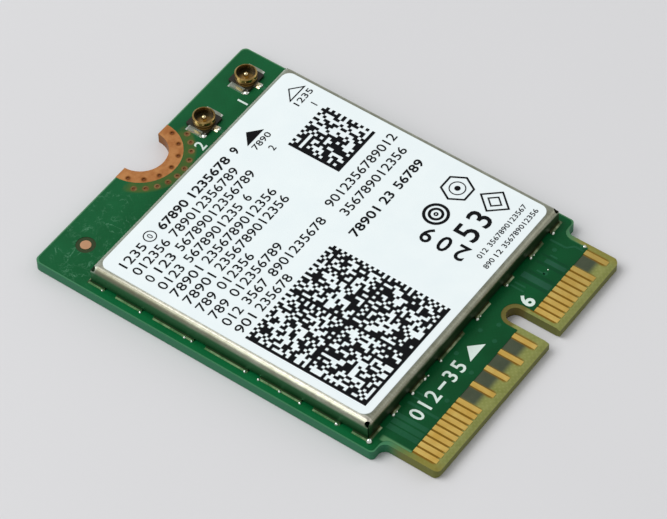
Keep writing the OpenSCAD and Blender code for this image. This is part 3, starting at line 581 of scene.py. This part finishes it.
for name, look in LOOKS.items():
    data = nodes[name].data
    data.materials.clear()
    data.materials.append(look)


# Mesh helpers

def piece(name, verts, faces, material, smooth=False):
    """Mesh piece from points in millimetres, riding on the card."""
    data = bpy.data.meshes.new(name)
    data.from_pydata([(x * MM, y * MM, z * MM) for x, y, z in verts], [], faces)
    data.materials.append(material)
    data.update()
    if smooth:
        for p in data.polygons:
            p.use_smooth = True
    ob = bpy.data.objects.new(name, data)
    bpy.context.scene.collection.objects.link(ob)
    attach(ob, "root")
    return ob


class Slabs:
    """Collects closed flat prisms between two heights and makes one mesh of them."""

    def __init__(self, z0, thick):
        self.z0, self.z1 = z0, z0 + thick
        self.v, self.f = [], []

    def prism(self, pts, drop=0.0):
        """Prism on a polygon listed counter-clockwise. Drop lowers its top a little."""
        n, k = len(pts), len(self.v)
        self.v += [(x, y, self.z0) for x, y in pts] + [(x, y, self.z1 - drop) for x, y in pts]
        self.f.append([k + i for i in reversed(range(n))])
        self.f.append([k + n + i for i in range(n)])
        for i in range(n):
            j = (i + 1) % n
            self.f.append([k + i, k + j, k + n + j, k + n + i])

    def rect(self, x, y, w, h, drop=0.0):
        """Rectangle with its lower left corner at x, y."""
        self.prism([(x, y), (x + w, y), (x + w, y + h), (x, y + h)], drop)

    def path(self, pts, t, drop=0.0):
        """Stroke of width t along straight pieces, each a little lower than the last."""
        for n, ((x0, y0), (x1, y1)) in enumerate(zip(pts, pts[1:])):
            d = math.hypot(x1 - x0, y1 - y0)
            nx, ny = (y0 - y1) / d * t / 2, (x1 - x0) / d * t / 2
            self.prism([(x0 - nx, y0 - ny), (x1 - nx, y1 - ny), (x1 + nx, y1 + ny),
                        (x0 + nx, y0 + ny)], drop + 0.0005 * n)

    def disc(self, cx, cy, r, steps=20):
        self.prism(around(cx, cy, r, steps))

    def frame(self, pts, t):
        """Closed outline of width t inside a convex polygon."""
        n, k = len(pts), len(self.v)
        inner = []
        for i in range(n):
            p, q, r = Vector(pts[i - 1]), Vector(pts[i]), Vector(pts[(i + 1) % n])
            a, b = (p - q).normalized(), (r - q).normalized()
            inner.append(tuple(q + (a + b).normalized() * t / math.sin(a.angle(b) / 2)))
        for z in (self.z0, self.z1):
            self.v += [(x, y, z) for x, y in pts] + [(x, y, z) for x, y in inner]
        m = 2 * n
        for i in range(n):
            j = (i + 1) % n
            self.f += [[k + m + i, k + m + j, k + m + n + j, k + m + n + i],
                       [k + i, k + n + i, k + n + j, k + j],
                       [k + i, k + j, k + m + j, k + m + i],
                       [k + n + i, k + m + n + i, k + m + n + j, k + n + j]]

    def ring(self, cx, cy, r, t, steps=32):
        """Round outline of width t, with r its outer radius."""
        self.frame(around(cx, cy, r, steps), t)

    def cells(self, on, x0, y0, cell):
        """Solid over the listed square cells, without faces between neighbours."""
        top, low = {}, {}

        def vert(store, i, j, z):
            if (i, j) not in store:
                store[(i, j)] = len(self.v)
                self.v.append((x0 + i * cell, y0 + j * cell, z))
            return store[(i, j)]

        for i, j in sorted(on):
            a = [(i, j), (i + 1, j), (i + 1, j + 1), (i, j + 1)]
            t = [vert(top, *p, self.z1) for p in a]
            b = [vert(low, *p, self.z0) for p in a]
            self.f += [t, b[::-1]]
            for k, other in enumerate(((i, j - 1), (i + 1, j), (i, j + 1), (i - 1, j))):
                if other not in on:
                    m = (k + 1) % 4
                    self.f.append([b[k], b[m], t[m], t[k]])

    def numerals(self, body, x, y, w, h, weight=0.0, turned=False):
        """Plain numerals with their lower left corner at x, y. A row fills the width w, and a
        single one keeps its own width in the middle of it. Turned ones read along +Y."""
        font = bpy.data.curves.new("numerals", "FONT")
        font.body, font.extrude, font.offset, font.resolution_u = body, 0.1, weight, 3
        ob = bpy.data.objects.new("numerals", font)
        data = bpy.data.meshes.new_from_object(ob)
        bm = bmesh.new()
        bm.from_mesh(data)
        bmesh.ops.remove_doubles(bm, verts=bm.verts, dist=1e-4)
        lo = [min(v.co[a] for v in bm.verts) for a in (0, 1)]
        size = [max(v.co[a] for v in bm.verts) - lo[a] for a in (0, 1)]
        own = min(w, size[0] / size[1] * h) if len(body) == 1 else w
        k = len(self.v)
        bm.verts.index_update()
        for v in bm.verts:
            along = (w - own) / 2 + own * (v.co.x - lo[0]) / size[0]
            up = h * (v.co.y - lo[1]) / size[1]
            at = (x + h - up, y + along) if turned else (x + along, y + up)
            self.v.append((*at, self.z1 if v.co.z > 0 else self.z0))
        self.f += [[k + v.index for v in f.verts] for f in bm.faces]
        bm.free()
        bpy.data.objects.remove(ob)
        bpy.data.meshes.remove(data)
        bpy.data.curves.remove(font)

    def make(self, name, material, slot):
        return piece(name, self.v, self.f, material)


def around(cx, cy, r, steps, start=0.0):
    """Points spread evenly on a circle."""
    turns = [math.radians(start) + 2 * math.pi * i / steps for i in range(steps)]
    return [(cx + r * math.cos(a), cy + r * math.sin(a)) for a in turns]


# Rows of numerals on the label. A line is given by the number of numerals in each word

INK_T = 0.016
ROW_H = 0.68
SMALL_H = 0.38
NUMERAL_PITCH = 0.82      # between numerals, as a share of their height
WORD_GAP = 0.62           # between words, likewise
REGULAR, BOLD = 0.004, 0.018
SIGN = 0                  # leaves room for the round sign

LEFT_X = label_lo.x + 0.72
LEFT_TOP_Y = label_hi.y - 1.3
LEFT_STEP = 0.987
LEFT_LINES = ((4, SIGN, 5, 7, 1), (6, 12), (1, 3, 14), (4, 10, 1), (5, 13), (5, 13), (3, 6),
              (3, 9), (3, 4, 10), (3, 6))
SIGN_R = 0.45
RIGHT_X = 2.13
# x and y of the line, height of its numerals, weight, words
OTHER_LINES = (
    (RIGHT_X, 1.78, ROW_H, REGULAR, (13,)),
    (RIGHT_X, 0.6, ROW_H, REGULAR, (12,)),
    (RIGHT_X - 1.08, -0.88, ROW_H, BOLD, (5, 2, 5)),
    (RIGHT_X + 1.92, -8.33, SMALL_H, REGULAR, (3, 13)),
    (RIGHT_X + 1.49, -9.12, SMALL_H, REGULAR, (3, 2, 12)),
)

# The built-in 4 fills up when it is made bolder, so it is left out
NUMERALS = "123567890"
given = 0


def next_numerals(n):
    """The next few numerals, counting on from the last ones."""
    global given
    out = "".join(NUMERALS[(given + i) % len(NUMERALS)] for i in range(n))
    given += n
    return out


def line(s, x, y, words, h, weight=REGULAR):
    """Words side by side, centred on the height y. Words after the round sign are bold."""
    pitch = NUMERAL_PITCH * h
    for n in words:
        if n == SIGN:
            s.ring(x + SIGN_R - 0.2, y + 0.1, SIGN_R, 0.07)
            s.numerals("0", x + SIGN_R - 0.35, y - 0.11, 0.3, 0.42)
            x += 2 * SIGN_R + 0.22
            weight = BOLD
            continue
        s.numerals(next_numerals(n), x, y - h / 2, n * pitch - 0.12 * h, h, weight)
        x += n * pitch + WORD_GAP * h


text = Slabs(LABEL_TOP, INK_T)
for n, words in enumerate(LEFT_LINES):
    line(text, LEFT_X, LEFT_TOP_Y - n * LEFT_STEP, words, ROW_H)
for x, y, h, weight, words in OTHER_LINES:
    line(text, x, y, words, h, weight)
print_rows = text.make("label_print_rows", INK, "label_ink")
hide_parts("label_print")


# Plain signs on the label: pointers to the sockets, with their numbers, and simple shapes

signs = Slabs(LABEL_TOP, INK_T + 0.0005)
POINTER_W, POINTER_H, POINTER_Y = 1.75, 0.78, label_hi.y - 1.77
for n, (x, number) in enumerate(zip(SOCKET_X, "21")):
    left = x - 0.6 * POINTER_W
    outline = [(left, POINTER_Y), (left + POINTER_W, POINTER_Y),
               (left + POINTER_W / 2, POINTER_Y + POINTER_H)]
    if n == 0:
        signs.prism(outline)
    else:
        signs.frame(outline, 0.08)
    signs.numerals(next_numerals(4), left + 0.05, POINTER_Y - 0.68, POINTER_W - 0.1, 0.46, REGULAR)
    signs.numerals(number, left + 0.6, POINTER_Y - 1.6, 0.4, 0.5, REGULAR)

RINGS_AT, HEXAGON_AT, DIAMOND_AT = (5.44, -4.18), (7.94, -4.08), (8.38, -6.62)
for r, t in ((0.88, 0.2), (0.52, 0.18), (0.16, 0.1)):
    signs.ring(*RINGS_AT, r, t)
signs.frame(around(*HEXAGON_AT, 1.12, 6), 0.13)
signs.ring(*HEXAGON_AT, 0.56, 0.07)
signs.disc(*HEXAGON_AT, 0.2)
for grow, t in ((1.0, 0.12), (0.5, 0.1)):
    w, h = 1.0 * grow, 1.15 * grow
    cx, cy = DIAMOND_AT
    signs.frame([(cx, cy - h), (cx + w, cy), (cx, cy + h), (cx - w, cy)], t)
# Large numerals, three of them turned
signs.numerals("5", 4.78, -7.5, 1.05, 1.7, 0.01)
signs.numerals("3", 6.15, -7.5, 1.05, 1.7, 0.01)
for k, numeral in enumerate("209"):
    signs.numerals(numeral, 3.12, -7.78 + 1.27 * k, 1.05, 1.26, 0.012, turned=True)
print_signs = signs.make("label_print_signs", INK, "label_ink")


# Code-like patterns of mixed cells

def code(n, seed, bars=False):
    """Cells of a pattern with two solid sides, two dotted ones and mixed cells inside."""
    r = random.Random(seed)
    mid = n // 2
    on = set()
    for i in range(n):
        for j in range(n):
            if i == 0 or j == 0:
                dark = True
            elif i == n - 1 or j == n - 1:
                dark = (i + j + n) % 2 == 1
            elif bars and mid in (i, j):
                dark = True
            elif bars and mid - 1 in (i, j):
                dark = (i + j) % 2 == 0
            else:
                dark = r.random() < 0.52
            if dark:
                on.add((i, j))
    return on


LARGE_CODE, LARGE_CELLS = 9.0, 44
SMALL_CODE, SMALL_CELLS = 4.0, 18
codes = Slabs(LABEL_TOP, INK_T - 0.0005)
codes.cells(code(LARGE_CELLS, 3, bars=True), label_lo.x + 0.6, label_lo.y + 0.55,
            LARGE_CODE / LARGE_CELLS)
codes.cells(code(SMALL_CELLS, 8), RIGHT_X + 2.65, 2.83, SMALL_CODE / SMALL_CELLS)
print_codes = codes.make("label_print_codes", INK, "label_ink")


# White print on the board: a pointer, numerals beside the contacts and at the sockets

SILK_T = 0.018
SILK_H = 1.02
SILK_Y = (FINGER_END_Y + FRONT_Y) / 2 - 0.49
silk = Slabs(BOARD_TOP, SILK_T)
silk.prism([(-1.95, SILK_Y + 0.13), (-0.3, SILK_Y + 0.13), (-1.1, SILK_Y + 0.98)])
for numeral, x in zip("01235", (-7.5, -6.65, -5.8, -3.95, -3.05)):
    silk.numerals(numeral, x, SILK_Y, 0.78, SILK_H, 0.012)
silk.rect(-4.8, SILK_Y + SILK_H / 2 - 0.09, 0.72, 0.18)
silk.numerals("6", 3.55, SILK_Y - 0.6, 0.8, 1.1, 0.03)
for x, number in zip(SOCKET_X, "21"):
    silk.numerals(number, x - 2.05, SOCKET_Y - 1.42, 0.6, 0.8, 0.012)
board_print = silk.make("board_print_marks", SILK, "board_print")
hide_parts("silkscreen_marks")


# Traces and via pads that stand out a little under the mask

TRACE_T = 0.008
TRACE_W = 0.2
bend_y = FINGER_END_Y + 1.45
traces, wide = Slabs(BOARD_TOP, TRACE_T), Slabs(BOARD_TOP, TRACE_T)
for k, (contact, w) in enumerate(((73, 0.4), (71, 0.4), (69, 0.34), (64.5, TRACE_W))):
    x = contact_x(contact)
    traces.path([(x, FINGER_END_Y + 0.1), (x, FRONT_Y - 0.3)], w, 0.0003 * k)
for lo, hi, long in WIDE_TRACES:
    x = (lo + hi) / 2
    wide.path([(x, FINGER_END_Y + 0.15), (x, FINGER_END_Y + 0.15 + long)], hi - lo)
# Short pieces of trace, as x, y and length
for x, y, long in ((7.8, -11.75, 0.55), (6.32, -11.8, 0.6), (4.42, -11.5, 1.0), (4.76, -11.4, 0.8),
                   (-6.1, -11.1, 0.6), (-5.7, -11.3, 0.8)):
    traces.path([(x, y), (x, y + long)], 0.13)
traces.path([(contact_x(1), FINGER_END_Y + 0.1), (contact_x(1), bend_y - 0.7),
             (contact_x(1) - 0.4, bend_y - 0.3), (contact_x(1) - 0.4, FRONT_Y - 0.3)], 0.16)
for x, y in ((-1.9, -10.8), (0.4, -11.0), (1.4, -11.7), (6.4, -11.8), (9.5, -12.5), (0.2, -12.2),
             (-2.6, -12.4), (8.3, -11.2), (-5.2, -12.4)):
    traces.disc(x, y, 0.16, 16)
for x in SOCKET_X:
    traces.rect(x - 0.15, REAR_Y + 0.3, 0.3, 0.6)
traces.make("mask_traces", TRACE, "solder_mask")
wide.make("mask_traces_wide", WIDE, "solder_mask")


# Plugs that close the vias a little below their rims

PLUG_R = 0.097
PLUG_T, PLUG_DROP = 0.3, 0.05
plugs = Slabs(BOARD_TOP - PLUG_DROP - PLUG_T, PLUG_T)
for (r, step), count in ((RING_VIAS, RING_VIA_COUNT), (ARC_VIAS, ARC_VIA_COUNT)):
    for i in range(count):
        turn = math.radians(step * (i - (count - 1) / 2))
        plugs.disc(r * math.sin(turn), END_Y - r * math.cos(turn), PLUG_R, 16)
plugs.make("via_plugs", PLUG, "solder_mask")


# Lumps of bright solder at the ends of the shield's feet and on the sockets' tabs

def lumps(name, spots, material):
    """Low uneven domes of solder, each given by its middle, radius and height."""
    v, f = [], []
    steps, rings = 14, 5
    low = BOARD_TOP - 0.02
    for x, y, r, h in spots:
        k = len(v)
        wobble = [rng.uniform(0.86, 1.14) for _ in range(steps)]
        for j in range(rings):
            a = math.pi / 2 * j / rings
            for i in range(steps):
                t = 2 * math.pi * i / steps
                w = 0.5 * wobble[i] + 0.25 * (wobble[i - 1] + wobble[(i + 1) % steps])
                v.append((x + r * w * math.cos(a) * math.cos(t),
                          y + r * w * math.cos(a) * math.sin(t), low + h * math.sin(a)))
        v.append((x, y, low + h))
        f.append([k + i for i in reversed(range(steps))])
        for j in range(rings - 1):
            for i in range(steps):
                p, q = k + j * steps + i, k + j * steps + (i + 1) % steps
                f.append([p, q, q + steps, p + steps])
        top = k + rings * steps
        for i in range(steps):
            f.append([top - steps + i, top - steps + (i + 1) % steps, top])
    return piece(name, v, f, material, smooth=True)


FRONT_GLINTS = (-7.95, -5.95, -4.64, -2.95, 0.97, 4.24, 6.88, 9.36)
SIDE_GLINTS = (9.98, 7.0, 3.55, 3.0, -1.06, -2.1, -3.7, -5.22, -7.96)
spots = [(-SIDE_X - 0.1, FRONT_Y - 0.12, 0.21, 0.27), (9.6, -12.6, 0.13, 0.12),
         (6.75, -11.75, 0.07, 0.06)]
spots += [(x, FRONT_Y - 0.17, rng.uniform(0.11, 0.15), rng.uniform(0.13, 0.18))
          for x in FRONT_GLINTS]
spots += [(x + 0.34, FRONT_Y - 0.18, rng.uniform(0.05, 0.08), 0.08) for x in FRONT_GLINTS[::2]]
spots += [(-SIDE_X - 0.17, y, rng.uniform(0.09, 0.13), rng.uniform(0.11, 0.16))
          for y in SIDE_GLINTS]
for x in SOCKET_X:
    spots += [(x - 0.96, SOCKET_Y - 0.72, 0.21, 0.14), (x + 0.02, SOCKET_Y - 1.16, 0.17, 0.14)]
lumps("solder_lumps", spots, BRIGHT)


# Camera: the point it looks at, its distance, heading, dip and roll in degrees, and the
# focal length in widths of the picture

LOOK_AT = Vector((0.288, 0.053, 0.0)) * MM
DISTANCE = 226.74 * MM
HEADING, DIP, ROLL = 37.228, 50.95, -1.774
FOCAL = 5.42318
SENSOR = 36.0

cam_data = bpy.data.cameras.new("camera")
cam_data.sensor_fit = "HORIZONTAL"
cam_data.sensor_width = SENSOR
cam_data.lens = SENSOR * FOCAL
cam_data.clip_start = 0.005
cam_data.clip_end = 20.0
cam = bpy.data.objects.new("camera", cam_data)
bpy.context.scene.collection.objects.link(cam)
turn = (Matrix.Rotation(math.radians(HEADING - 90), 4, "Z")
        @ Matrix.Rotation(math.radians(90 - DIP), 4, "X")
        @ Matrix.Rotation(math.radians(ROLL), 4, "Z"))
cam.matrix_world = Matrix.Translation(LOOK_AT + turn.to_3x3() @ Vector((0, 0, DISTANCE))) @ turn
bpy.context.scene.camera = cam


# Light and floor

def area(name, direction, distance, size, power):
    data = bpy.data.lights.new(name, "AREA")
    data.shape = "SQUARE"
    data.size = size
    data.energy = power
    ob = bpy.data.objects.new(name, data)
    d = Vector(direction).normalized()
    ob.location = d * distance
    ob.rotation_mode = "QUATERNION"
    ob.rotation_quaternion = d.to_track_quat("Z", "Y")
    bpy.context.scene.collection.objects.link(ob)


area("key_light", (-0.35, 0.5, 0.8), 0.6, 0.45, 2.35)
area("fill_light", (0.7, -0.5, 0.5), 0.7, 0.4, 0.35)

world = bpy.data.worlds.new("studio")
world.use_nodes = True
back = world.node_tree.nodes["Background"]
back.inputs["Color"].default_value = (1.0, 1.0, 1.0, 1.0)
back.inputs["Strength"].default_value = 0.5
bpy.context.scene.world = world

floor_mat = Mat("floor_pale")
floor_mat.set(Base_Color=floor_mat.mix(floor_mat.noise(0.02, 3.0), srgb(216, 216, 218),
                                       srgb(222, 222, 224)), Roughness=0.7)
bpy.ops.mesh.primitive_plane_add(size=8.0, location=(0, 0, -0.03 * MM))
floor = bpy.context.object
floor.name = "floor"
floor.data.materials.append(floor_mat.m)

bpy.context.scene.view_settings.view_transform = "Standard"
